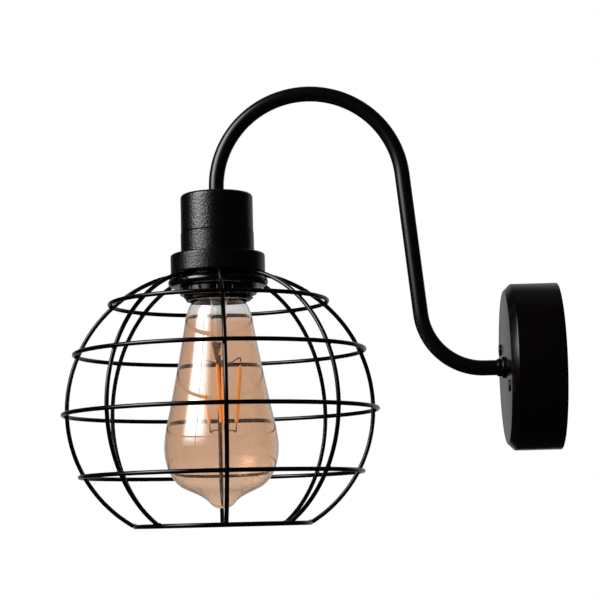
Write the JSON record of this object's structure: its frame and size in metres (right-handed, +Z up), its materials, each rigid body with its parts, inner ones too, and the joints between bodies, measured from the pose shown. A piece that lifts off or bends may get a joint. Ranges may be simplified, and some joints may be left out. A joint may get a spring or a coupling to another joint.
{
  "type": "cage wall light",
  "caption": "Wall light: a gooseneck arm on a round canopy, a threaded lamp holder, a round welded wire cage clamped on by a notched ring, and a pear-shaped filament bulb.",
  "frame": {"origin": "centre of the canopy's open back, on the wall's surface, midway between the two wall holes", "axes": "+Y into the wall, so the light stands out along -Y; +Z up, along the lamp's own axis; +X to the right of someone facing the wall"},
  "size_m": [0.1786, 0.2793, 0.2487],
  "materials": {
    "black_metal": "satin powder coat",
    "black_plastic": "fine textured satin",
    "zinc_steel": "zinc plated",
    "brass": "plain",
    "white_plastic": "satin",
    "ceramic": "glazed",
    "live_lead": "satin",
    "neutral_lead": "satin",
    "earth_lead": "satin, green with a yellow stripe",
    "amber_glass": "clear, amber tinted",
    "clear_glass": "clear",
    "bulb_cap_metal": "nickel plated",
    "dark_glass": "glazed, opaque",
    "circuit_board": "satin",
    "phosphor": "satin"
  },
  "bodies": {
    "fixture": {"wall_bracket": "zinc_steel", "bracket_earth_screw": "brass", "canopy": "black_metal", "canopy_screws": "black_metal", "terminal_block": "white_plastic", "terminal_screws": "brass", "block_screw": "zinc_steel", "earth_tag": "brass", "live_lead": "live_lead", "neutral_lead": "neutral_lead", "earth_lead": "earth_lead", "arm_tube": "black_metal", "arm_collar": "black_metal", "arm_lock_washer": "zinc_steel", "arm_back_nut": "zinc_steel", "holder_nut": "zinc_steel", "holder_cap": "black_plastic", "holder_skirt": "black_plastic", "holder_insert": "ceramic", "screw_shell": "brass", "shell_rivet": "brass", "contact_strap": "brass", "contact_spring": "zinc_steel", "holder_terminals": "brass", "holder_terminal_screws": "zinc_steel"},
    "centre_contact": {"contact_plunger": "brass"},
    "bulb": {"bulb_glass": "amber_glass", "bulb_cap_shell": "bulb_cap_metal", "bulb_cap_insulator": "dark_glass", "bulb_tip_contact": "bulb_cap_metal", "bulb_driver_board": "circuit_board", "bulb_stem": "clear_glass", "bulb_support_wires": "bulb_cap_metal", "bulb_filaments": "phosphor"},
    "cage": {"cage_cap": "black_metal", "cage_collar": "black_metal", "cage_rib_1": "black_metal", "cage_rib_2": "black_metal", "cage_rib_3": "black_metal", "cage_rib_4": "black_metal", "cage_rib_5": "black_metal", "cage_rib_6": "black_metal", "cage_rib_7": "black_metal", "cage_rib_8": "black_metal", "cage_hoop_1": "black_metal", "cage_hoop_2": "black_metal", "cage_hoop_3": "black_metal", "cage_hoop_4": "black_metal", "cage_hoop_5": "black_metal"},
    "shade_ring": {"shade_ring": "black_plastic"}
  },
  "joints": [
    {"name": "cage_drop", "type": "slide", "parent": "fixture", "child": "cage", "axis": [0, 0, -1], "range_m": [0, 0.01]},
    {"name": "ring_turn", "type": "hinge", "parent": "cage", "child": "shade_ring", "pos_m": [0, -0.19, 0.05], "axis": [0, 0, -1], "range_deg": [0, 1440]},
    {"name": "contact_travel", "type": "slide", "parent": "fixture", "child": "centre_contact", "axis": [0, 0, -1], "range_m": [0, 0.0025], "deforming": ["contact_spring"]},
    {"name": "bulb_turn", "type": "hinge", "parent": "centre_contact", "child": "bulb", "pos_m": [0, -0.19, 0], "axis": [0, 0, -1], "range_deg": [0, 249]}
  ],
  "couplings": [
    {"joint": "ring_turn", "follows": "cage_drop", "rad_per_m": 2513.3},
    {"joint": "bulb_turn", "follows": "contact_travel", "rad_per_m": 1731.4}
  ]
}
